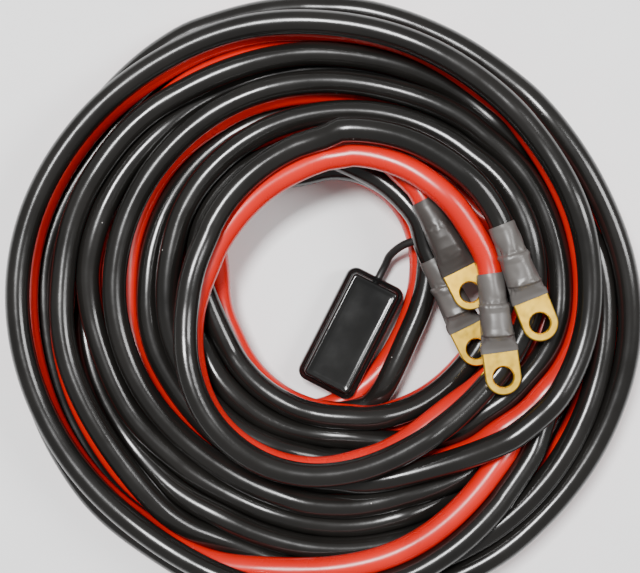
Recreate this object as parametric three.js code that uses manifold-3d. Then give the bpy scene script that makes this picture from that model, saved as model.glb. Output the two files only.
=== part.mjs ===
// A coiled set of twin battery jumper cable with four ring terminals and a moulded cap in its bore.
// Millimetres, +Z up. The coil lies on the floor at z = 0, with its outer circle centred on the origin.
import * as THREE from "three";
import { mergeVertices } from "three/addons/utils/BufferGeometryUtils.js";
import Module from "manifold-3d";

const wasm = await Module();
wasm.setup();

// Driving dimensions: the cable and the coil
const JACKET_D = 11;
const COIL_OUTER_D = 292;
const BORE_D = 108;
const BORE_CENTRE = [10, 8];
const TURN_PITCH = 11.5;
const INNER_TOPS = [22, 25, 36];
const FULL_TOP = 43;
const OUTER_TOPS = [38, 27];
const COIL_STEPS = 48;

// Driving dimensions: the ring terminal and its heat-shrink sleeve
const HOLE_D = 9;
const PALM_W = 16;
const PALM_T = 2.8;
const PALM_DROP = 1.5;
const SLEEVE_L = 35;
const SLEEVE_WALL = 0.4;
const BARREL_SWELL = 0.55;
const HOLE_TO_SLEEVE = 11;
const STRIP_L = 14;

// Driving dimensions: the moulded cap and its strap
const CAP_L = 59;
const CAP_W = 29.4;
const CAP_H = 20;
const CAP_CORNER = 4;
const STRAP_D = 4;

// Clearances
const FIT = 0.35;
const CUT = 0.5;

// Tied sizes
const JACKET_R = JACKET_D / 2;
const BORE_R = BORE_D / 2;
const COIL_R = COIL_OUTER_D / 2;
const COLUMNS = Math.round((COIL_R - BORE_R) / TURN_PITCH);
const FULL_COLUMNS = Math.max(0, COLUMNS - INNER_TOPS.length - OUTER_TOPS.length);
const COLUMN_TOPS = [...INNER_TOPS, ...Array(FULL_COLUMNS).fill(FULL_TOP), ...OUTER_TOPS];
const TURN_R = JACKET_R;
const SLEEVE_BORE_R = JACKET_R + FIT;
const BARREL_R = JACKET_R;
const SLEEVE_BACK = HOLE_TO_SLEEVE + SLEEVE_L;
const BARREL_BACK = SLEEVE_BACK - STRIP_L;
const ROUND = 20;

const group = new THREE.Group();

// Materials
const black = { color: 0x101012, roughness: 0.28, metalness: 0 };
const red = { color: 0xd8301c, roughness: 0.3, metalness: 0 };
const grey = { color: 0x6e6763, roughness: 0.5, metalness: 0 };
const brass = { color: 0xd9b04a, roughness: 0.3, metalness: 1 };
const moulded = { color: 0x0c0c0e, roughness: 0.22, metalness: 0 };

function add(name, geometry, look) {
  const mesh = new THREE.Mesh(geometry, new THREE.MeshStandardMaterial(look));
  mesh.name = name;
  group.add(mesh);
  return mesh;
}

// A closed geometry as a manifold solid
function solid(geometry) {
  const bare = geometry.clone();
  bare.deleteAttribute("normal");
  bare.deleteAttribute("uv");
  const merged = mergeVertices(bare, 1e-4);
  return new wasm.Manifold(
    new wasm.Mesh({
      numProp: 3,
      vertProperties: new Float32Array(merged.attributes.position.array),
      triVerts: new Uint32Array(merged.index.array),
    }),
  );
}

// A manifold solid as a geometry
function geometryOf(body) {
  const mesh = body.getMesh();
  const geometry = new THREE.BufferGeometry();
  geometry.setAttribute("position", new THREE.BufferAttribute(new Float32Array(mesh.vertProperties), 3));
  geometry.setIndex(new THREE.BufferAttribute(new Uint32Array(mesh.triVerts), 1));
  geometry.computeVertexNormals();
  return geometry;
}

// What is left of a body after a cut, without the offcuts
function largest(body) {
  return body.decompose().reduce((best, piece) => (piece.volume() > best.volume() ? piece : best));
}

// A closed skin over rings of points, each ring with the same count, capped at both ends
function loft(rings) {
  const count = rings[0].length;
  const points = rings.flat().concat([centre(rings[0]), centre(rings[rings.length - 1])]);
  const first = points.length - 2;
  const last = points.length - 1;
  const faces = [];
  for (let k = 0; k < count; k += 1) {
    const next = (k + 1) % count;
    for (let r = 0; r + 1 < rings.length; r += 1) {
      const a = r * count;
      const b = a + count;
      faces.push(a + k, a + next, b + next, a + k, b + next, b + k);
    }
    const end = (rings.length - 1) * count;
    faces.push(first, next, k, last, end + k, end + next);
  }
  return skin(points, faces);
}

// A closed skin over an outer and an inner row of rings, open along its middle
function sleeveSkin(outer, inner) {
  const count = outer[0].length;
  const loop = outer.concat(inner.slice().reverse());
  const faces = [];
  for (let r = 0; r < loop.length; r += 1) {
    const a = r * count;
    const b = ((r + 1) % loop.length) * count;
    for (let k = 0; k < count; k += 1) {
      const next = (k + 1) % count;
      faces.push(a + k, a + next, b + next, a + k, b + next, b + k);
    }
  }
  return skin(loop.flat(), faces);
}

function centre(ring) {
  const sum = ring.reduce((total, p) => total.add(p), new THREE.Vector3());
  return sum.divideScalar(ring.length);
}

function skin(points, faces) {
  const geometry = new THREE.BufferGeometry();
  const flat = points.flatMap((p) => [p.x, p.y, p.z]);
  geometry.setAttribute("position", new THREE.BufferAttribute(new Float32Array(flat), 3));
  geometry.setIndex(faces);
  geometry.computeVertexNormals();
  return geometry;
}

// The coil: one turned ring, whose turns show as half-round ridges on its top and bottom.
// The bore sits off the outer circle's centre, so each point shifts by its depth in the ring.
function coilGeometry(grow = 0) {
  const profile = [];
  const columns = COLUMN_TOPS.length;
  const edge = (column) => (column < columns ? BORE_R + column * TURN_PITCH : COIL_R);
  const place = (column, share, z) => {
    const reach = share > 0 ? edge(column + 1) - edge(column) : 0;
    profile.push(new THREE.Vector2(edge(column) + share * reach, z));
  };
  const ridge = (column, height, sign) => {
    place(column, 0.22, height);
    place(column, 0.78, height);
    place(column, 1, height - sign * TURN_R * 0.7);
  };
  const start = (height, sign) => place(0, 0, height - sign * TURN_R * 0.7);
  start(-grow, -1);
  for (let c = 0; c < columns; c += 1) {
    ridge(c, -grow, -1);
  }
  place(columns, 0, COLUMN_TOPS[columns - 1] / 2);
  const top = [];
  for (let c = columns - 1; c >= 0; c -= 1) {
    const height = COLUMN_TOPS[c] + grow;
    const left = c > 0 ? Math.min(height, COLUMN_TOPS[c - 1] + grow) : height;
    top.push([c, 1, c === columns - 1 ? height - TURN_R * 0.7 : null]);
    top.push([c, 0.78, height], [c, 0.22, height], [c, 0, left - TURN_R * 0.7]);
  }
  for (const [column, share, z] of top) {
    if (z !== null) {
      place(column, share, z);
    }
  }
  place(0, 0, COLUMN_TOPS[0] / 2);
  for (const p of profile) {
    p.x += p.x < BORE_R + 1e-6 ? -grow : 0;
    p.x += p.x > COIL_R - 1e-6 ? grow : 0;
  }
  profile.push(profile[0].clone());
  const ring = new THREE.LatheGeometry(profile, COIL_STEPS).rotateX(Math.PI / 2);
  const position = ring.attributes.position;
  for (let i = 0; i < position.count; i += 1) {
    const depth = (COIL_R - Math.hypot(position.getX(i), position.getY(i))) / (COIL_R - BORE_R);
    position.setX(i, position.getX(i) + BORE_CENTRE[0] * depth);
    position.setY(i, position.getY(i) + BORE_CENTRE[1] * depth);
  }
  ring.computeVertexNormals();
  return ring;
}

add("cable_coil", coilGeometry(), black);
const coilRoom = solid(coilGeometry(CUT));

// A length of cable along hand-placed points
function tube(points, radius, steps, sides) {
  const circle = new THREE.Shape();
  circle.absarc(0, 0, radius, 0, Math.PI * 2, false);
  const route = new THREE.CatmullRomCurve3(points.map((p) => new THREE.Vector3(...p)), false, "centripetal");
  route.arcLengthDivisions = 800;
  const options = { steps, curveSegments: sides / 2, bevelEnabled: false, extrudePath: route };
  return new THREE.ExtrudeGeometry(circle, options);
}

// The four terminals: hole centre, heading from the cable towards the hole, and height of the cable's axis
const TERMINALS = {
  a: { hole: [71.7, -18.4], heading: -63.5, height: 31 },
  b: { hole: [67.1, 7.6], heading: -63.3, height: 44 },
  c: { hole: [80.9, -29.8], heading: -82.3, height: 50.9 },
  d: { hole: [95.8, -5.8], heading: -68.3, height: 57.4 },
};

// A point behind a terminal's hole, on its cable's axis
function behind(terminal, distance) {
  const { hole, heading, height } = TERMINALS[terminal];
  const angle = THREE.MathUtils.degToRad(heading);
  return [hole[0] - distance * Math.cos(angle), hole[1] - distance * Math.sin(angle), height];
}

// The tails' routes: each starts inside its sleeve, runs straight out of it, and sinks into the coil
const straight = (terminal) => [BARREL_BACK + FIT, SLEEVE_BACK - 4, SLEEVE_BACK + 5].map((x) => behind(terminal, x));
const TAILS = {
  tail_black_d: [
    ...straight("d"),
    [65, 57, 59.5], [40, 73, 60], [13, 78.2, 59.5], [-12.5, 73.5, 57.5], [-32.5, 61, 55], [-47, 44, 50.5],
    [-56, 26, 42], [-60, 8, 33], [-61, -10, 23],
  ],
  tail_red_c: [
    ...straight("c"),
    [66.2, 35.5, 52.9], [54.5, 50.2, 55.2], [35, 63.5, 53], [12, 68.5, 50], [-10.5, 63.5, 48.5],
    [-27, 51, 46.5], [-39, 36, 41.5], [-46.5, 21, 33.5], [-49.5, 7, 26.5], [-50, -8, 17],
  ],
  tail_black_a: [
    ...straight("a"),
    [45.3, 40.5, 32], [38.5, 49.7, 31], [30.7, 57, 29.3], [21, 63, 27.8], [10, 67, 24.5], [0, 68.5, 18],
  ],
  tail_red_b: [
    ...straight("b"),
    [37, 61, 40], [28.5, 69, 36.8], [19, 75.5, 33], [7, 80, 27.5], [-6, 82.5, 20],
  ],
};
// The loose inner turn that bows into the bore beside the cap, black on top of red
const LOOSE_TURN = [
  [15, -51.5], [22.2, -47.8], [27.6, -42.4], [32.2, -34], [36, -26], [39.3, -18.7], [42.4, -11.6],
  [45.8, -4.3], [48.6, 3.6], [50.6, 12.4], [51.4, 22], [50.2, 33], [47.5, 43], [42, 54],
];
const atHeight = (points, z) => points.map(([x, y]) => [x, y, z]);

const ROUTES = [
  ["tail_black_d", TAILS.tail_black_d, 18, black],
  ["tail_red_c", TAILS.tail_red_c, 17, red],
  ["tail_black_a", TAILS.tail_black_a, 9, black],
  ["tail_red_b", TAILS.tail_red_b, 9, red],
  ["loose_turn_black", atHeight(LOOSE_TURN, JACKET_D * 1.5 + FIT), 8, black],
  ["loose_turn_red", atHeight(LOOSE_TURN, JACKET_R), 8, red],
];
for (const [name, points, steps, look] of ROUTES) {
  const whole = solid(tube(points, JACKET_R, steps, 10));
  add(name, geometryOf(largest(whole.subtract(coilRoom))), look);
}

// A ring of points across the terminal's axis at x: an oval of the given half sizes, about the height z
function oval(x, halfWidth, halfHeight, z, power = 1) {
  const ring = [];
  for (let k = 0; k < ROUND; k += 1) {
    const angle = (k / ROUND) * Math.PI * 2;
    const c = Math.cos(angle);
    const s = Math.sin(angle);
    const y = halfWidth * Math.sign(c) * Math.abs(c) ** power;
    ring.push(new THREE.Vector3(x, y, z + halfHeight * Math.sign(s) * Math.abs(s) ** power));
  }
  return ring;
}

// The heat-shrink sleeve: round over the jacket and the barrel, then flat where the terminal is flat
function sleeveGeometry() {
  const front = -HOLE_TO_SLEEVE;
  const back = -SLEEVE_BACK;
  const barrel = -BARREL_BACK;
  const stations = [
    [back, SLEEVE_BORE_R, SLEEVE_BORE_R, 0],
    [barrel - 2, SLEEVE_BORE_R, SLEEVE_BORE_R, 0],
    [barrel + 1, SLEEVE_BORE_R + BARREL_SWELL, SLEEVE_BORE_R + BARREL_SWELL, 0],
    [front - 9, SLEEVE_BORE_R + BARREL_SWELL, SLEEVE_BORE_R + BARREL_SWELL, 0],
    [front - 5, 7.2, 4.4, -PALM_DROP * 0.6],
    [front, PALM_W / 2, 2.4, -PALM_DROP],
  ];
  const grown = (wall) => stations.map(([x, w, h, z]) => oval(x, w + wall, h + wall, z));
  return sleeveSkin(grown(SLEEVE_WALL), grown(0));
}

// The ring terminal: a crimped barrel that flattens into a palm with a rounded end and a stud hole
function terminalGeometry() {
  const back = -BARREL_BACK;
  const body = loft([
    oval(back, BARREL_R, BARREL_R, 0),
    oval(-HOLE_TO_SLEEVE - 9.5, BARREL_R, BARREL_R, 0),
    oval(-HOLE_TO_SLEEVE - 5, 6.6, 3.6, -PALM_DROP * 0.7),
    oval(-HOLE_TO_SLEEVE + 1.2, 6.6, PALM_T / 2 - 0.05, -PALM_DROP, 0.7),
  ]);
  const outline = new THREE.Shape();
  const half = PALM_W / 2;
  outline.moveTo(-HOLE_TO_SLEEVE + 0.5, -half * 0.86);
  outline.lineTo(-half * 0.8, -half);
  outline.absarc(0, 0, half, -Math.PI / 2, Math.PI / 2, false);
  outline.lineTo(-half * 0.8, half);
  outline.lineTo(-HOLE_TO_SLEEVE + 0.5, half * 0.86);
  outline.closePath();
  const hole = new THREE.Path();
  hole.absarc(0, 0, HOLE_D / 2, 0, Math.PI * 2, true);
  outline.holes.push(hole);
  const palm = new THREE.ExtrudeGeometry(outline, { depth: PALM_T, bevelEnabled: false, curveSegments: 14 });
  palm.translate(0, 0, -PALM_DROP - PALM_T / 2);
  return geometryOf(solid(palm).add(solid(body)));
}

const sleeveShape = sleeveGeometry();
const terminalShape = terminalGeometry();
for (const [key, { hole, heading, height }] of Object.entries(TERMINALS)) {
  const lug = add(`ring_terminal_${key}`, terminalShape.clone(), brass);
  const sleeve = add(`heat_shrink_sleeve_${key}`, sleeveShape.clone(), grey);
  for (const piece of [lug, sleeve]) {
    piece.position.set(hole[0], hole[1], height);
    piece.rotation.z = THREE.MathUtils.degToRad(heading);
  }
}

// The moulded cap: a rounded rectangle with a stepped rim around a flat panel
const CAP_CENTRE = [14.6, -12];
const CAP_HEADING = THREE.MathUtils.degToRad(63);

function roundedRing(inset, z) {
  const radius = Math.max(CAP_CORNER - inset, 0.8);
  const shape = [];
  const x = CAP_L / 2 - inset - radius;
  const y = CAP_W / 2 - inset - radius;
  [[x, y], [-x, y], [-x, -y], [x, -y]].forEach(([cx, cy], corner) => {
    for (let k = 0; k <= 4; k += 1) {
      const angle = ((corner + k / 4) * Math.PI) / 2;
      shape.push(new THREE.Vector3(cx + radius * Math.cos(angle), cy + radius * Math.sin(angle), z));
    }
  });
  return shape;
}

const cap = add(
  "moulded_cap",
  loft([
    roundedRing(1, 0),
    roundedRing(0, 1),
    roundedRing(0, CAP_H - 4),
    roundedRing(1.2, CAP_H - 2.6),
    roundedRing(3.4, CAP_H - 2.2),
    roundedRing(3.8, CAP_H - 0.4),
    roundedRing(4.4, CAP_H),
    roundedRing(5.6, CAP_H),
    roundedRing(6.2, CAP_H - 0.7),
  ]),
  moulded,
);
cap.position.set(CAP_CENTRE[0], CAP_CENTRE[1], 0);
cap.rotation.z = CAP_HEADING;

// A point straight out from the middle of the cap's upper end
function capEnd(distance, z) {
  const reach = CAP_L / 2 + distance;
  return [CAP_CENTRE[0] + reach * Math.cos(CAP_HEADING), CAP_CENTRE[1] + reach * Math.sin(CAP_HEADING), z];
}

// The cap's strap: out of its upper end and up under the black tail
const STRAP = [capEnd(FIT * 1.5, 9), capEnd(6, 9.8), [34.4, 25.6, 15], [39, 29.4, 19.5], [44.6, 31.6, 22.3]];
add("cap_strap", tube(STRAP, STRAP_D / 2, 6, 8), moulded);

export default group;
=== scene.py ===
import math
import bmesh
import bpy
import numpy as np
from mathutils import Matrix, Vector, noise


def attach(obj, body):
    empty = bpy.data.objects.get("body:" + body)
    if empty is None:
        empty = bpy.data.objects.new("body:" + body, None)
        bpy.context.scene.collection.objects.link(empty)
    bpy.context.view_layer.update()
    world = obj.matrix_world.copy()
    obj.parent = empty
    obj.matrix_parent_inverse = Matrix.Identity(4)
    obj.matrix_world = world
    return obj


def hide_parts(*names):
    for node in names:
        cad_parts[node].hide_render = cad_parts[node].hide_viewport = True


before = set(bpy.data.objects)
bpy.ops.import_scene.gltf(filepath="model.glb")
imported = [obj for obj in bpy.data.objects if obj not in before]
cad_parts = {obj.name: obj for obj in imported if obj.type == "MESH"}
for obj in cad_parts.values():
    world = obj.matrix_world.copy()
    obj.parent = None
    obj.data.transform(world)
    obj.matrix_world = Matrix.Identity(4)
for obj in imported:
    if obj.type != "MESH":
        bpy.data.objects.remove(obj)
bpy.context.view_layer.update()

MM = 0.001

# Driving sizes, in millimetres
JACKET_D = 11.0
JACKET_R = JACKET_D / 2
TWIN_D = JACKET_D + 0.05
STEP = 4.0
TRACE_CENTRE = (0.0, 4.0)
CAMERA_AT = (0.0, 10.1, 560.0)
CAMERA_LENS = 65.0

# The camera looks straight down on the coil, as the photograph does
camera_data = bpy.data.cameras.new("camera")
camera_data.lens = CAMERA_LENS
camera_data.sensor_width = 36.0
camera = bpy.data.objects.new("camera", camera_data)
camera.location = Vector(CAMERA_AT) * MM
bpy.context.scene.collection.objects.link(camera)
bpy.context.scene.camera = camera

# The four terminals: hole centre, heading from the cable towards the hole, height of the cable's axis
TERMINALS = {
    "a": ((71.7, -18.4), -63.5, 31.0),
    "b": ((67.1, 7.6), -63.3, 44.0),
    "c": ((80.9, -29.8), -82.3, 50.9),
    "d": ((95.8, -5.8), -68.3, 57.4),
}
SLEEVE_BACK = 46.0
BARREL_BACK = 32.0
HOLE_CLEAR = 14.0
STRAIGHT = (BARREL_BACK, SLEEVE_BACK - 4, SLEEVE_BACK + 5)


def behind(key, distance):
    """A point on a terminal's cable axis, at a distance behind its hole, in millimetres."""
    hole, heading, height = TERMINALS[key]
    angle = math.radians(heading)
    return [hole[0] - distance * math.cos(angle), hole[1] - distance * math.sin(angle), height]


# The tails' routes from their sleeves towards the coil, as in the part
TAILS = {
    "d": [[65, 57, 59.5], [40, 73, 60], [13, 78.2, 59.5], [-12.5, 73.5, 57.5],
          [-32.5, 61, 55], [-47, 44, 50.5]],
    "c": [[66.2, 35.5, 52.9], [54.5, 50.2, 55.2], [35, 63.5, 53], [12, 68.5, 50], [-10.5, 63.5, 48.5],
          [-29, 53, 45], [-42.5, 38.5, 42]],
    "a": [[45.3, 40.5, 32], [38.5, 49.7, 31], [30.7, 57, 29.3], [21, 63, 28.8]],
    "b": [[37, 61, 40], [28.5, 69, 36.8], [19, 74.5, 32]],
}
LOOSE_TURN = [
    [22.2, -47.8], [27.6, -42.4], [32.2, -34], [36, -26], [39.3, -18.7], [42.4, -11.6], [45.8, -4.3],
    [48.6, 3.6], [50.6, 12.4], [51.4, 22], [50.2, 33], [47.5, 43],
]

# The coiled turns, from each pair of ends out to the fold in the middle of the cable.
# A station is the angle turned so far, the radius about the traced centre, the black jacket's height,
# and how far the red jacket leans in from under it (0 is straight under it, 90 is flat beside it).
FIRST_HALF = [
    (150, 58.7, 50, 20), (160, 58.2, 48, 16), (170, 58.6, 48, 11), (180, 59.8, 49, 8), (190, 62, 52, 6),
    (200, 65, 56, 4), (210, 68.3, 59, 2), (220, 72, 60, 2), (230, 75, 60, 2), (240, 77, 60, 4),
    (250, 79, 60, 6), (265, 80, 60, 6), (280, 79, 59, 4),
    (290, 78.5, 58, 4), (300, 78, 55, 4), (310, 79, 51, 5),
    (320, 81.5, 46, 6), (328, 84.5, 42.5, 6), (337, 88.5, 40.5, 5), (345, 92, 40, 4), (352, 95.5, 39, 3),
    (360, 98.5, 39, 3), (380, 100.3, 40, 3), (397, 98.5, 40, 3), (410, 96, 40, 3), (430, 91, 40, 3),
    (450, 86, 40, 5), (470, 82.4, 40, 6), (490, 78, 40, 4), (510, 74, 39, 3), (540, 71.5, 38, 3),
    (555, 71.4, 37, 3), (590, 71.5, 35, 4), (620, 75.5, 34, 4), (632, 77.5, 33, 4), (660, 84, 28, 2),
    (690, 94, 22, 0), (720, 97, 20, 0), (745, 95.5, 24, 0), (760, 93, 25, 0), (780, 87.5, 24, 0),
    (800, 84, 22, 0), (830, 82, 18, 0), (870, 74, 17, 0),
    (900, 68, 17, 0), (940, 62, 17, 0), (980, 58, 17, 0),
]
FIRST_AFTER = [
    (1140, 66, 17, 0), (1170, 67, 17, 0), (1200, 66, 17, 0), (1230, 63, 18, 0), (1260, 60, 26, 5),
    (1285, 62.5, 31, 10), (1310, 63, 32, 11), (1330, 65.5, 32, 10), (1350, 69.5, 31, 8), (1370, 75, 30, 6),
    (1385, 81, 29, 4), (1398, 89, 31, 4), (1405, 93.6, 34, 4), (1415, 100, 38, 3), (1430, 109, 42, 3),
    (1440, 111, 43, 3), (1460, 111.5, 42, 3), (1480, 108, 41, 3), (1500, 103, 40, 4), (1530, 100.4, 40, 6),
    (1560, 99, 40, 8), (1590, 97.3, 40, 11), (1620, 95.4, 40, 13), (1650, 92, 40, 12), (1680, 90, 39, 6),
    (1702, 92.7, 38, 3), (1724, 96.7, 37, 2), (1745, 103.5, 36, 2), (1760, 110.7, 33, 2),
    (1773, 116, 28, 0), (1790, 117, 22, 0), (1810, 117, 18, 0), (1840, 116, 20, 0), (1870, 115, 26, 0),
    (1893, 113.6, 34, 2), (1920, 113.8, 38, 2), (1950, 117, 38, 1), (1990, 119.7, 38, 1),
    (2035, 120.6, 38, 0), (2050, 121.5, 38, 2), (2065, 124.5, 38, 5), (2080, 129.5, 38, 6),
    (2103, 133.2, 38, 2), (2120, 133.6, 38, 0), (2140, 134, 38, 0), (2152, 133.4, 36, 0),
    (2167, 131, 30, 0), (2190, 119, 20, 0), (2220, 115, 17, 0), (2270, 117, 17, 0), (2330, 119, 17, 0),
    (2360, 120, 17, 0), (2385, 124, 17, 0), (2410, 110, 17, 0), (2428, 98, 17, 0),
]
SECOND_HALF = [
    (98, 70, 31, 4), (120, 72, 36, 2), (140, 69, 35, 2), (152, 64, 34, 4), (162, 59.5, 32, 8),
    (172, 55.5, 30, 11), (182, 53, 30, 13), (190, 52.2, 30, 14),
    (205, 51.7, 30, 17), (220, 52.5, 32, 17), (235, 54, 33, 16), (250, 55.3, 33, 14), (262, 56.2, 33, 12),
    (275, 58, 32, 8), (285, 60, 31, 6), (295, 62.6, 29, 4), (305, 66.5, 27, 2), (315, 70.5, 24.5, 1),
    (325, 73.5, 22, 0), (332, 75.5, 20, 0), (345, 82, 18, 0),
    (360, 89, 17, 0), (390, 99, 17, 0), (420, 99, 17, 0),
    (450, 96, 18, 0), (480, 90, 24, 2), (497, 86, 31, 4), (510, 84, 35, 4), (525, 82.4, 36, 4),
    (540, 81.5, 36, 4), (555, 80, 36, 4), (570, 78.3, 35, 4), (578, 77.5, 34, 4), (600, 79, 34, 2),
    (630, 83.5, 35, 2), (648, 87.3, 37, 2), (658, 88.7, 38, 2), (669, 94, 40, 2), (677, 99.7, 42, 2),
    (685, 106, 44, 2), (693, 112, 47, 2), (704, 117.5, 51, 2), (714, 120.5, 55, 2),
    (723, 121, 58, 1), (735, 121.5, 59, 0), (750, 120.8, 58, 0), (765, 120.8, 57, 2), (780, 121, 55, 4),
    (795, 122.5, 53, 6), (810, 124.5, 51, 8), (825, 128, 49, 8), (840, 130, 46, 8), (860, 134, 43, 6),
    (880, 137.5, 41, 5), (895, 138.6, 40, 3), (910, 137.7, 40, 1), (925, 136, 40, -2), (940, 134, 41, -4),
    (955, 132, 43, 0), (965, 131.5, 45, 15), (985, 132, 49, 55),
    (1005, 131.5, 51, 90), (1013, 129.5, 51, 90),
    (1020, 127.5, 50, 90), (1030, 124, 47, 80), (1038, 120, 43, 70),
    (1045, 117, 37, 50), (1050, 115.5, 31, 30),
    (1060, 114, 24, 10), (1080, 113.5, 18, 0), (1110, 114.5, 17, 0),
    (1140, 114.5, 17, 0), (1170, 113, 18, 0),
    (1200, 111, 22, 0), (1230, 109.5, 30, 2), (1245, 109.8, 32, 2), (1265, 107, 32, 3), (1285, 105, 32, 4),
    (1305, 103, 32, 5), (1320, 101, 32, 4), (1342, 102.5, 32, 3), (1362, 107, 32, 2), (1385, 112, 28, 0),
    (1420, 108, 17, 0), (1470, 107, 17, 0), (1530, 108, 17, 0), (1590, 111, 18, 0), (1640, 115, 26, 2),
    (1662, 114.5, 32, 4), (1680, 112, 34, 4), (1695, 111.8, 34, 3), (1710, 112.5, 34, 2),
    (1725, 114.2, 34, 1), (1740, 116.5, 32, 1), (1765, 122, 26, 0), (1810, 128, 17, 0), (1850, 128, 17, 0),
    (1880, 123, 17, 0), (1910, 122, 17, 0), (1940, 125, 17, 0), (1970, 128, 17, 0),
    (2010, 129, 17, 0), (2050, 134, 20, 0), (2080, 140.5, 28, 0),
    (2100, 142, 36, 0), (2110, 142.4, 38, 0), (2130, 142.8, 38, 0),
    (2150, 142, 39, 2), (2160, 140.5, 40, 4),
    (2170, 138.5, 40, 6), (2185, 134, 40, 14), (2195, 132.5, 40, 24),
    (2205, 131.5, 40, 26), (2220, 131, 39, 14),
    (2235, 131.5, 38, 12), (2245, 133, 36, 18), (2255, 135, 33, 18),
    (2265, 137, 28, 10), (2290, 139, 20, 0),
    (2330, 140, 17, 0), (2370, 141, 17, 0), (2410, 141.5, 17, 0),
]
FOLD_ANGLE = 286.0
FOLD_CENTRE_R = 117.0
FOLD_R = 25.0


def station(angle, radius, height, lean):
    """Black and red jacket centres at one station of the coil."""
    a = math.radians(angle)
    out = Vector((math.cos(a), math.sin(a), 0))
    black = Vector((TRACE_CENTRE[0], TRACE_CENTRE[1], height)) + out * radius
    tilt = math.radians(lean)
    red = black - out * (TWIN_D * math.sin(tilt)) - Vector((0, 0, TWIN_D * math.cos(tilt)))
    return black, red


def cubic(points, step):
    """A smooth row of points at even steps through given ones (a centripetal spline)."""
    p = np.array([tuple(q) for q in points], float)
    p = np.vstack([2 * p[0] - p[1], p, 2 * p[-1] - p[-2]])
    rows = []
    for i in range(1, len(p) - 2):
        p0, p1, p2, p3 = p[i - 1:i + 3]
        t0 = 0.0
        t1 = t0 + np.linalg.norm(p1 - p0) ** 0.5
        t2 = t1 + np.linalg.norm(p2 - p1) ** 0.5
        t3 = t2 + np.linalg.norm(p3 - p2) ** 0.5
        t = np.linspace(t1, t2, 24, endpoint=False)[:, None]
        a1 = (t1 - t) / (t1 - t0) * p0 + (t - t0) / (t1 - t0) * p1
        a2 = (t2 - t) / (t2 - t1) * p1 + (t - t1) / (t2 - t1) * p2
        a3 = (t3 - t) / (t3 - t2) * p2 + (t - t2) / (t3 - t2) * p3
        b1 = (t2 - t) / (t2 - t0) * a1 + (t - t0) / (t2 - t0) * a2
        b2 = (t3 - t) / (t3 - t1) * a2 + (t - t1) / (t3 - t1) * a3
        rows.append((t2 - t) / (t2 - t1) * b1 + (t - t1) / (t2 - t1) * b2)
    rows.append(p[-2][None])
    fine = np.vstack(rows)
    run = np.concatenate([[0], np.cumsum(np.linalg.norm(np.diff(fine, axis=0), axis=1))])
    even = np.linspace(0, run[-1], int(round(run[-1] / step)) + 1)
    return np.stack([np.interp(even, run, fine[:, k]) for k in range(3)], axis=1)


def half(black_tail, red_tail, sections):
    """Listed points of one half of the cable, black and red, from the terminals to the fold."""
    black = [behind(black_tail, x) for x in STRAIGHT] + TAILS[black_tail]
    red = [behind(red_tail, x) for x in STRAIGHT] + TAILS[red_tail]
    for section in sections:
        for b, r in section:
            black.append(tuple(b))
            red.append(tuple(r))
    return black, red


loose = [((x, y, JACKET_R + TWIN_D), (x, y, JACKET_R)) for x, y in LOOSE_TURN]
first_black, first_red = half("d", "c", [
    [station(*s) for s in FIRST_HALF], loose, [station(*s) for s in FIRST_AFTER]])
second_black, second_red = half("a", "b", [[station(*s) for s in SECOND_HALF]])

# The fold: a flat half turn from the first half out to the second
fold_black = []
fold_red = []
fold_out = Vector((math.cos(math.radians(FOLD_ANGLE)), math.sin(math.radians(FOLD_ANGLE)), 0))
fold_on = Vector((-fold_out.y, fold_out.x, 0))
fold_mid = Vector((TRACE_CENTRE[0], TRACE_CENTRE[1], 0)) + fold_out * FOLD_CENTRE_R
for k in range(7):
    a = math.pi * k / 6
    spot = fold_mid - fold_out * (FOLD_R * math.cos(a)) + fold_on * (FOLD_R * math.sin(a))
    fold_black.append((spot.x, spot.y, JACKET_R + TWIN_D))
    fold_red.append((spot.x, spot.y, JACKET_R))

black_points = cubic(first_black + fold_black + second_black[::-1], STEP)
red_points = cubic(first_red + fold_red + second_red[::-1], STEP)


# How the jackets settle: rounds, then shares of each correction that a round makes
ROUNDS = 260
STILL_ROUNDS = 60
REFRESH = 10
END_POINTS = 26
SINK = 0.03
ROUTE_HOLD = 0.02
LOOSE_HOLD = 0.3
SMOOTH_NEAR = 0.3
SMOOTH_FAR = 0.02
PART = 0.5
BALL_PART = 0.4
SLACK = 6.0
BALL_SPACING = 4.0
SLEEVE_BALL_R = 6.8
PALM_BALL_R = 2.4
PALM_MID_DROP = 1.5
OWN_NEIGHBOURS = 9
CHUNK = 400


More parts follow.
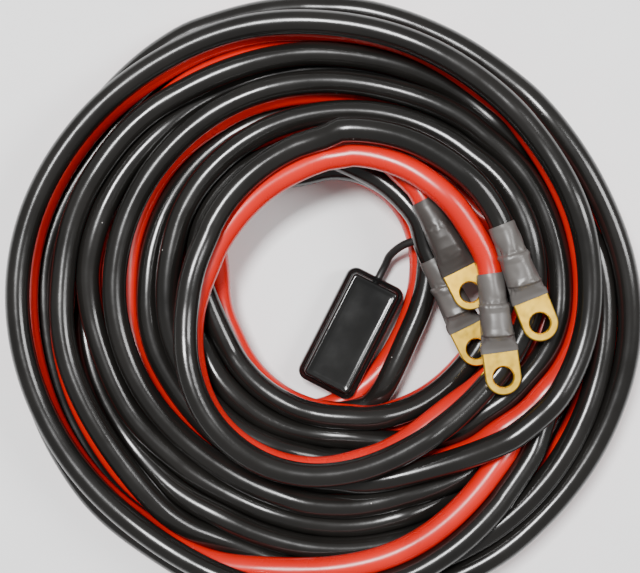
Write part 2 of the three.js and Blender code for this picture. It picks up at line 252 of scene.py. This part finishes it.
def relax(black, red):
    """Settles the two jackets: they stay a diameter apart, joined as a twin, smooth, and off the floor."""
    n, m = len(black), len(red)
    p = np.vstack([black, red])
    home = p.copy()
    total = n + m
    # The twin's partners: the nearest red point to each black one, in order along the cable
    partner = np.full(n, -1)
    low = 0
    for i in range(n):
        window = slice(max(0, low - 12), min(m, low + 24))
        gaps = np.linalg.norm(red[window] - black[i], axis=1)
        low = window.start + int(gaps.argmin())
        partner[i] = low
    span = np.linalg.norm(black - red[partner], axis=1)
    bonded = np.where(span < TWIN_D * 1.25)[0]
    ends = END_POINTS
    bonded = bonded[(bonded > ends) & (bonded < n - ends)]
    held = np.zeros(total, bool)
    for start, stop in ((0, ends), (n - ends, n), (n, n + ends), (total - ends, total)):
        held[start:stop] = True
    loose_at = np.array([q[0] for q in loose])
    near_loose = np.linalg.norm(p[:, None] - loose_at[None], axis=2).min(axis=1) < STEP
    hold = np.full(total, ROUTE_HOLD)
    hold[near_loose] = LOOSE_HOLD
    # The sleeves and palms, as balls that the cable stays off
    balls = []
    for key, (hole, heading, height) in TERMINALS.items():
        for x in np.arange(HOLE_CLEAR, SLEEVE_BACK, BALL_SPACING):
            balls.append(behind(key, x) + [SLEEVE_BALL_R])
        side = Vector((-math.sin(math.radians(heading)), math.cos(math.radians(heading)), 0))
        for x in (-5.0, 1.0, 7.0):
            for y in (-5.0, 0.0, 5.0):
                spot = Vector(behind(key, x)) + side * y
                balls.append([spot.x, spot.y, height - PALM_MID_DROP, PALM_BALL_R])
    balls = np.array(balls)
    pair_i = pair_j = None
    for k in range(ROUNDS):
        if k % REFRESH == 0:
            pair_i, pair_j = close_pairs(p, n, TWIN_D + SLACK)
        free = ~held
        p[free, 2] -= SINK if k < ROUNDS - STILL_ROUNDS else 0.0
        p[:, :2] += hold[:, None] * (home[:, :2] - p[:, :2])
        inner = np.ones(total, bool)
        inner[[0, n - 1, n, total - 1]] = False
        middle = np.zeros_like(p)
        middle[1:-1] = (p[:-2] + p[2:]) / 2 - p[1:-1]
        wide = np.zeros_like(p)
        wide[3:-3] = (p[:-6] + p[6:]) / 2 - p[3:-3]
        wide[n - 3:n + 3] = 0
        p[inner] += SMOOTH_NEAR * middle[inner]
        p += SMOOTH_FAR * wide
        for _ in range(2):
            a, b = p[bonded], p[partner[bonded] + n]
            gap = b - a
            size = np.linalg.norm(gap, axis=1, keepdims=True)
            fix = PART * gap * (1 - TWIN_D / size)
            np.add.at(p, bonded, fix)
            np.add.at(p, partner[bonded] + n, -fix)
            gap = p[pair_i] - p[pair_j]
            size = np.linalg.norm(gap, axis=1)
            hit = size < TWIN_D
            gap, size = gap[hit], size[hit]
            push = PART * PART * gap / size[:, None] * (TWIN_D - size)[:, None]
            np.add.at(p, pair_i[hit], push)
            np.add.at(p, pair_j[hit], -push)
            off = p[:, None] - balls[None, :, :3]
            far = np.linalg.norm(off, axis=2)
            deep = (balls[None, :, 3] + JACKET_R + 0.1 - far).clip(min=0)
            p += (off / far[:, :, None] * deep[:, :, None]).sum(axis=1) * BALL_PART
            p[held] = home[held]
            p[:, 2] = p[:, 2].clip(min=JACKET_R + 0.05)
    return p[:n], p[n:]


def close_pairs(p, n, reach):
    """Pairs of points nearer than reach, without a jacket's own neighbours and its twin."""
    rows_i = []
    rows_j = []
    share = np.concatenate([np.arange(n) / n, np.arange(len(p) - n) / (len(p) - n)]) * n
    for start in range(0, len(p), CHUNK):
        stop = min(start + CHUNK, len(p))
        gap = np.linalg.norm(p[start:stop, None] - p[None], axis=2)
        i, j = np.where(gap < reach)
        i = i + start
        keep = (j > i) & (np.abs(share[i] - share[j]) > OWN_NEIGHBOURS)
        rows_i.append(i[keep])
        rows_j.append(j[keep])
    return np.concatenate(rows_i), np.concatenate(rows_j)


black_route, red_route = relax(black_points, red_points)


def strand(name, points, radius):
    """A round strand through the points, as a mesh tube."""
    curve = bpy.data.curves.new(f"{name}_line", "CURVE")
    curve.dimensions = "3D"
    curve.bevel_depth = radius * MM
    curve.bevel_resolution = 5
    curve.use_fill_caps = True
    spline = curve.splines.new("POLY")
    spline.points.add(len(points) - 1)
    for point, (x, y, z) in zip(spline.points, points):
        point.co = (x * MM, y * MM, z * MM, 1)
    spline.use_smooth = True
    line = bpy.data.objects.new(f"{name}_line", curve)
    bpy.context.scene.collection.objects.link(line)
    shown = line.evaluated_get(bpy.context.evaluated_depsgraph_get())
    tube = bpy.data.objects.new(name, bpy.data.meshes.new_from_object(shown))
    bpy.context.scene.collection.objects.link(tube)
    bpy.data.objects.remove(line)
    return tube


black_cable = strand("cable_black", black_route, JACKET_R)
red_cable = strand("cable_red", red_route, JACKET_R)


def skin(name, rows, node, sharp, closed=False):
    """A skin over rows of points, each with the same count, closed round and, if asked, end to end."""
    count = len(rows[0])
    points = [tuple(c * MM for c in q) for row in rows for q in row]
    faces = []
    for r in range(len(rows) if closed else len(rows) - 1):
        low = r * count
        high = ((r + 1) % len(rows)) * count
        for k in range(count):
            after = (k + 1) % count
            faces.append((low + k, low + after, high + after, high + k))
    if not closed:
        faces.append(tuple(range(count - 1, -1, -1)))
        faces.append(tuple(range((len(rows) - 1) * count, len(rows) * count)))
    mesh = bpy.data.meshes.new(name)
    mesh.from_pydata(points, [], faces)
    shape = bmesh.new()
    shape.from_mesh(mesh)
    bmesh.ops.recalc_face_normals(shape, faces=shape.faces)
    shape.to_mesh(mesh)
    shape.free()
    mesh.shade_smooth()
    mesh.set_sharp_from_angle(angle=math.radians(sharp))
    piece = bpy.data.objects.new(name, mesh)
    bpy.context.scene.collection.objects.link(piece)
    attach(piece, "root")
    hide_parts(node)
    return piece


def to_world(key, x, y, z):
    """A point of a terminal's own frame (hole at the origin, cable towards -x) in the shared frame."""
    hole, heading, height = TERMINALS[key]
    c = math.cos(math.radians(heading))
    s = math.sin(math.radians(heading))
    return hole[0] + c * x - s * y, hole[1] + s * x + c * y, height + z


# The shrunk sleeves: distance behind the hole, half width, half height, drop below the cable's axis.
# Each hugs the jacket, steps up over the crimped barrel, then flattens over the palm.
STEPPED = [
    (46.0, 5.95, 5.95, 0), (45.0, 6.05, 6.05, 0), (34.5, 5.85, 5.85, 0),
    (33.2, 5.9, 5.9, 0), (32.5, 6.9, 6.7, 0),
    (31.4, 7.15, 6.95, 0), (29.0, 6.75, 6.5, 0), (22.0, 6.8, 6.5, 0),
    (20.0, 7.0, 6.7, 0), (19.0, 7.3, 6.7, 0),
    (18.2, 6.5, 5.2, 0.3), (16.6, 6.7, 4.2, 0.8), (14.4, 8.2, 3.1, 1.2),
    (13.0, 8.45, 2.6, 1.4), (11.0, 8.4, 2.2, 1.5),
]
SMOOTH = [
    (46.0, 5.95, 5.95, 0), (44.0, 6.05, 6.0, 0), (37.0, 6.2, 6.1, 0),
    (33.0, 6.5, 6.4, 0), (28.0, 6.85, 6.6, 0),
    (23.0, 7.1, 6.3, 0.1), (19.0, 7.5, 5.3, 0.4), (15.0, 8.1, 3.6, 1.1),
    (12.5, 8.4, 2.6, 1.4), (11.0, 8.4, 2.2, 1.5),
]
SLEEVES = {"a": STEPPED, "b": SMOOTH, "c": STEPPED, "d": STEPPED}
SKEW = {"a": 0.9, "b": 0.6, "c": 0.7, "d": 1.2}
WRINKLE = {"a": 0.5, "b": 0.4, "c": 0.45, "d": 0.6}
SQUARENESS = [11, 17, 24, 32, 34], [0.62, 0.8, 0.86, 0.9, 1.0]
SKEW_TURN = 0.8
CREASES = (32.5, 18.0)
CREASE_L = 2.2
FADE = 3
SLEEVE_FRONT = 11.0
SLEEVE_ROUND = 72
SLEEVE_STEP = 0.35


def sleeve_row(key, x):
    """One ring of a sleeve's skin, at a distance behind the hole."""
    profile = SLEEVES[key][::-1]
    at = [q[0] for q in profile]
    row = []
    for k in range(SLEEVE_ROUND):
        a = 2 * math.pi * k / SLEEVE_ROUND
        # The steps run a little askew, and the film puckers where it changes width
        inner = min(1.0, (SLEEVE_BACK - x) / FADE, max(0.0, (x - SLEEVE_FRONT) / FADE))
        where = x + SKEW[key] * inner * math.sin(a + SKEW_TURN)
        width, height, drop = (float(np.interp(where, at, [q[i] for q in profile])) for i in (1, 2, 3))
        flat = float(np.interp(where, *SQUARENESS))
        c, s = math.cos(a), math.sin(a)
        pucker = noise.noise(Vector((x * 0.12, 1.3 * c, 1.3 * s + ord(key)))) * WRINKLE[key] * inner
        crease = sum(math.exp(-(((x - step) / CREASE_L) ** 2)) for step in CREASES)
        pucker += noise.noise(Vector((x * 0.5, 4 * c, 4 * s + ord(key)))) * WRINKLE[key] * crease
        y = (width + pucker) * math.copysign(abs(c) ** flat, c)
        z = (height + pucker) * math.copysign(abs(s) ** flat, s) - drop
        row.append(to_world(key, -x, y, z))
    return row


def oval_row(key, x, width, height, drop):
    """One plain oval ring, for the turned-in rims of a sleeve."""
    row = []
    for k in range(SLEEVE_ROUND):
        a = 2 * math.pi * k / SLEEVE_ROUND
        row.append(to_world(key, -x, width * math.cos(a), height * math.sin(a) - drop))
    return row


# The lug's palm: a stadium with a chamfered rim and a chamfered stud hole
HOLE_R = 4.5
PALM_HALF = 8.0
PALM_TOP = -0.1
PALM_BOTTOM = -2.9
PALM_BACK = 14.0
CHAMFER = 0.55
LUG_ROUND = 120


def palm_edge(a, inset):
    """A point of the palm's outline in the direction a from the hole: round in front, straight behind."""
    c, s = math.cos(a), math.sin(a)
    half = PALM_HALF - inset
    if c >= 0:
        return half * c, half * s
    reach = min(half / max(abs(s), 1e-6), (PALM_BACK - inset) / abs(c))
    return reach * c, reach * s


def lug(key):
    """A lug's palm, from rings round its hole and its outline."""
    rows = []
    for kind, inset, z in (
        ("hole", 0, PALM_BOTTOM + CHAMFER), ("hole", 0, PALM_TOP - CHAMFER), ("hole", CHAMFER, PALM_TOP),
        ("edge", CHAMFER, PALM_TOP), ("edge", 0.12, PALM_TOP - CHAMFER * 0.5),
        ("edge", 0, PALM_TOP - CHAMFER * 1.2),
        ("edge", 0, PALM_BOTTOM + CHAMFER), ("edge", CHAMFER, PALM_BOTTOM), ("hole", CHAMFER, PALM_BOTTOM),
    ):
        row = []
        for k in range(LUG_ROUND):
            a = 2 * math.pi * k / LUG_ROUND
            if kind == "hole":
                x, y = (HOLE_R + inset) * math.cos(a), (HOLE_R + inset) * math.sin(a)
            else:
                x, y = palm_edge(a, inset)
            row.append(to_world(key, x, y, z))
        rows.append(row)
    return skin(f"lug_{key}", rows, f"ring_terminal_{key}", closed=True, sharp=12.0)


dressed = {}
for key in TERMINALS:
    spots = np.arange(SLEEVE_FRONT, SLEEVE_BACK + 1e-6, SLEEVE_STEP)
    rows = [oval_row(key, 13.0, 7.9, 1.3, 1.5), oval_row(key, 11.0, 8.05, 1.5, 1.5)]
    rows += [sleeve_row(key, float(x)) for x in spots]
    rows += [oval_row(key, 46.1, 5.6, 5.6, 0), oval_row(key, 44.5, 5.52, 5.52, 0)]
    sleeve = skin(f"sleeve_{key}", rows, f"heat_shrink_sleeve_{key}", closed=True, sharp=60.0)
    dressed[key] = [sleeve, lug(key)]

# The moulded cap: a tray with a raised plateau, its edges rounded and beaded
CAP_L = 59.0
CAP_W = 29.4
CAP_CENTRE = (14.6, -12.0)
CAP_HEADING = 63.0
CAP_CORNER = 5.0
LEAST_CORNER = 1.2
CORNER_STEPS = 12


def cap_row(inset, z):
    """A rounded rectangle round the cap at height z, drawn in by inset."""
    radius = max(CAP_CORNER - inset, LEAST_CORNER)
    x = CAP_L / 2 - inset - radius
    y = CAP_W / 2 - inset - radius
    turn = math.radians(CAP_HEADING)
    row = []
    for corner, (cx, cy) in enumerate(((x, y), (-x, y), (-x, -y), (x, -y))):
        for k in range(CORNER_STEPS + 1):
            a = (corner + k / CORNER_STEPS) * math.pi / 2
            u = cx + radius * math.cos(a)
            v = cy + radius * math.sin(a)
            row.append((CAP_CENTRE[0] + math.cos(turn) * u - math.sin(turn) * v,
                        CAP_CENTRE[1] + math.sin(turn) * u + math.cos(turn) * v, z))
    return row


# How far in from the outline, and how high, from the underside to the top
CAP_PROFILE = [
    (2.0, 0.0), (0.6, 0.5), (0.0, 2.0), (0.0, 8.0), (0.1, 13.5),
    (0.4, 14.6), (1.0, 15.4), (1.7, 15.8), (2.1, 16.0),
    (2.5, 16.5), (2.8, 17.6), (3.0, 18.8), (3.35, 19.55),
    (3.85, 19.93), (4.4, 20.0), (4.9, 19.9), (5.4, 19.72),
    (6.4, 19.66), (9.0, 19.7), (12.0, 19.74),
]
cap_rows = [cap_row(inset, z) for inset, z in CAP_PROFILE]
cap = skin("cap_body", cap_rows, "moulded_cap", sharp=50.0)


def cap_end(distance, z):
    """A point straight out from the cap's upper end."""
    turn = math.radians(CAP_HEADING)
    reach = CAP_L / 2 + distance
    return CAP_CENTRE[0] + reach * math.cos(turn), CAP_CENTRE[1] + reach * math.sin(turn), z


STRAP_R = 1.9
strap_route = [
    cap_end(-1.5, 9), cap_end(2.5, 9.3), cap_end(6.5, 10.4),
    (33.0, 24.6, 13.5), (38.4, 29.2, 18.5), (44.6, 31.6, 22.3),
]
strap = strand("strap", cubic(strap_route, 1.0), STRAP_R)
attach(strap, "root")
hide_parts("cap_strap")

BLACK_NODES = ["tail_black_a", "tail_black_d", "loose_turn_black", "cable_coil"]
RED_NODES = ["tail_red_b", "tail_red_c", "loose_turn_red"]
for cable, route, nodes, slot, near, far in (
    (black_cable, black_route, BLACK_NODES, "jacket_black", "d", "a"),
    (red_cable, red_route, RED_NODES, "jacket_red", "c", "b"),
):
    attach(cable, "root")
    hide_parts(*nodes)

# Floor and light
FLOOR = 3
AIM = (0, 0, 0.03)
floor_mesh = bpy.data.meshes.new("floor")
corners = [(-FLOOR, -FLOOR, 0), (FLOOR, -FLOOR, 0), (FLOOR, FLOOR, 0), (-FLOOR, FLOOR, 0)]
floor_mesh.from_pydata(corners, [], [(0, 1, 2, 3)])
floor = bpy.data.objects.new("floor", floor_mesh)
bpy.context.scene.collection.objects.link(floor)


def area_light(name, at, size, power):
    """A softbox that faces the coil."""
    data = bpy.data.lights.new(name, "AREA")
    data.shape = "RECTANGLE"
    data.size, data.size_y = size
    data.energy = power
    lamp = bpy.data.objects.new(name, data)
    lamp.location = at
    direction = Vector(AIM) - Vector(at)
    lamp.rotation_euler = direction.to_track_quat("-Z", "Y").to_euler()
    bpy.context.scene.collection.objects.link(lamp)


area_light("softbox_top", (-0.22, 0.28, 1.25), (0.30, 0.22), 26)
area_light("softbox_side", (0.75, 0.15, 1.0), (0.25, 0.5), 9)
world = bpy.data.worlds.new("studio")
world.use_nodes = True
world.node_tree.nodes["Background"].inputs["Color"].default_value = (1.0, 1.0, 1.0, 1)
world.node_tree.nodes["Background"].inputs["Strength"].default_value = 0.38
bpy.context.scene.world = world


# Materials
class Shader:
    """A procedural material, with short ways to add its nodes."""

    def __init__(self, name):
        self.material = bpy.data.materials.new(name)
        self.material.use_nodes = True
        self.tree = self.material.node_tree
        self.bsdf = self.tree.nodes["Principled BSDF"]

    def node(self, kind, **values):
        made = self.tree.nodes.new(kind)
        for key, value in values.items():
            setattr(made, key, value)
        return made

    def link(self, source, target):
        self.tree.links.new(source, target)

    def noise(self, scale, detail=3.0):
        texture = self.node("ShaderNodeTexNoise")
        where = self.node("ShaderNodeTexCoord")
        self.link(where.outputs["Object"], texture.inputs["Vector"])
        texture.inputs["Scale"].default_value = scale
        texture.inputs["Detail"].default_value = detail
        return texture.outputs["Fac"]

    def ramp(self, source, stops):
        made = self.node("ShaderNodeValToRGB")
        made.color_ramp.elements[0].position, made.color_ramp.elements[0].color = stops[0]
        made.color_ramp.elements[1].position, made.color_ramp.elements[1].color = stops[-1]
        for place, colour in stops[1:-1]:
            made.color_ramp.elements.new(place).color = colour
        self.link(source, made.inputs["Fac"])
        return made.outputs["Color"]

    def bump(self, source, strength, distance):
        made = self.node("ShaderNodeBump")
        made.inputs["Strength"].default_value = strength
        made.inputs["Distance"].default_value = distance
        self.link(source, made.inputs["Height"])
        self.link(made.outputs["Normal"], self.bsdf.inputs["Normal"])

    def set(self, **values):
        for key, value in values.items():
            self.bsdf.inputs[key.replace("_", " ")].default_value = value


def grey(value):
    """A colour stop without hue."""
    return (value, value, value, 1)


SPECKS_PER_METRE = 95
DUST_COLOUR = (0.55, 0.53, 0.5, 1)


def vinyl(name, low, high, gloss, dust=0.0, grain=0.0003):
    """Soft moulded plastic: slow changes of colour and gloss, faint grain, and a few dust specks."""
    shader = Shader(name)
    colour = shader.ramp(shader.noise(25), [(0.35, low), (0.65, high)])
    if dust:
        dots = shader.node("ShaderNodeTexVoronoi")
        where = shader.node("ShaderNodeTexCoord")
        shader.link(where.outputs["Object"], dots.inputs["Vector"])
        dots.inputs["Scale"].default_value = SPECKS_PER_METRE
        near = shader.ramp(dots.outputs["Distance"], [(0.018, grey(1)), (0.034, grey(0))])
        some = shader.ramp(shader.noise(30, 1), [(0.56, grey(0)), (0.60, grey(dust))])
        both = shader.node("ShaderNodeMath", operation="MULTIPLY")
        shader.link(near, both.inputs[0])
        shader.link(some, both.inputs[1])
        mix = shader.node("ShaderNodeMix", data_type="RGBA")
        shader.link(both.outputs["Value"], mix.inputs["Factor"])
        shader.link(colour, mix.inputs["A"])
        mix.inputs["B"].default_value = DUST_COLOUR
        colour = mix.outputs["Result"]
    shader.link(colour, shader.bsdf.inputs["Base Color"])
    shader.link(shader.ramp(shader.noise(60, 4), [(0.35, grey(gloss)), (0.7, grey(gloss + 0.08))]),
                shader.bsdf.inputs["Roughness"])
    shader.bump(shader.noise(220, 3), 0.12, grain)
    return shader.material


def brushed_brass(name):
    """Plated lug metal: even gold with a fine rubbed finish."""
    shader = Shader(name)
    golds = [(0.3, (0.72, 0.43, 0.035, 1)), (0.7, (0.82, 0.53, 0.065, 1))]
    shader.link(shader.ramp(shader.noise(90, 3), golds), shader.bsdf.inputs["Base Color"])
    shader.link(shader.ramp(shader.noise(300, 4), [(0.3, grey(0.30)), (0.7, grey(0.40))]),
                shader.bsdf.inputs["Roughness"])
    shader.bump(shader.noise(700, 2), 0.08, 0.0001)
    shader.set(Metallic=1.0)
    return shader.material


black_vinyl = vinyl("black_vinyl", (0.0065, 0.006, 0.0053, 1), (0.011, 0.010, 0.009, 1), 0.18, 0.8)
red_vinyl = vinyl("red_vinyl", (0.52, 0.006, 0.002, 1), (0.62, 0.010, 0.004, 1), 0.26)
sleeve_grey = vinyl("sleeve_grey", (0.082, 0.075, 0.070, 1), (0.116, 0.107, 0.100, 1), 0.33)
sleeve_dark = vinyl("sleeve_dark", (0.036, 0.031, 0.028, 1), (0.056, 0.049, 0.045, 1), 0.32)
cap_black = vinyl("cap_black", (0.005, 0.005, 0.005, 1), (0.008, 0.008, 0.0075, 1), 0.12, 0.7, 0.0002)
strap_black = vinyl("strap_black", (0.010, 0.0095, 0.009, 1), (0.014, 0.013, 0.0125, 1), 0.42)
brass = brushed_brass("terminal_brass")
floor_white = vinyl("floor_white", (0.90, 0.90, 0.90, 1), (0.92, 0.92, 0.92, 1), 0.7)


def dress(thing, material):
    """Gives a piece its one material."""
    thing.data.materials.clear()
    thing.data.materials.append(material)


dress(black_cable, black_vinyl)
dress(red_cable, red_vinyl)
dress(floor, floor_white)
dress(cap, cap_black)
dress(strap, strap_black)
for key, (sleeve, palm) in dressed.items():
    dress(sleeve, sleeve_dark if key == "b" else sleeve_grey)
    dress(palm, brass)

bpy.context.view_layer.update()
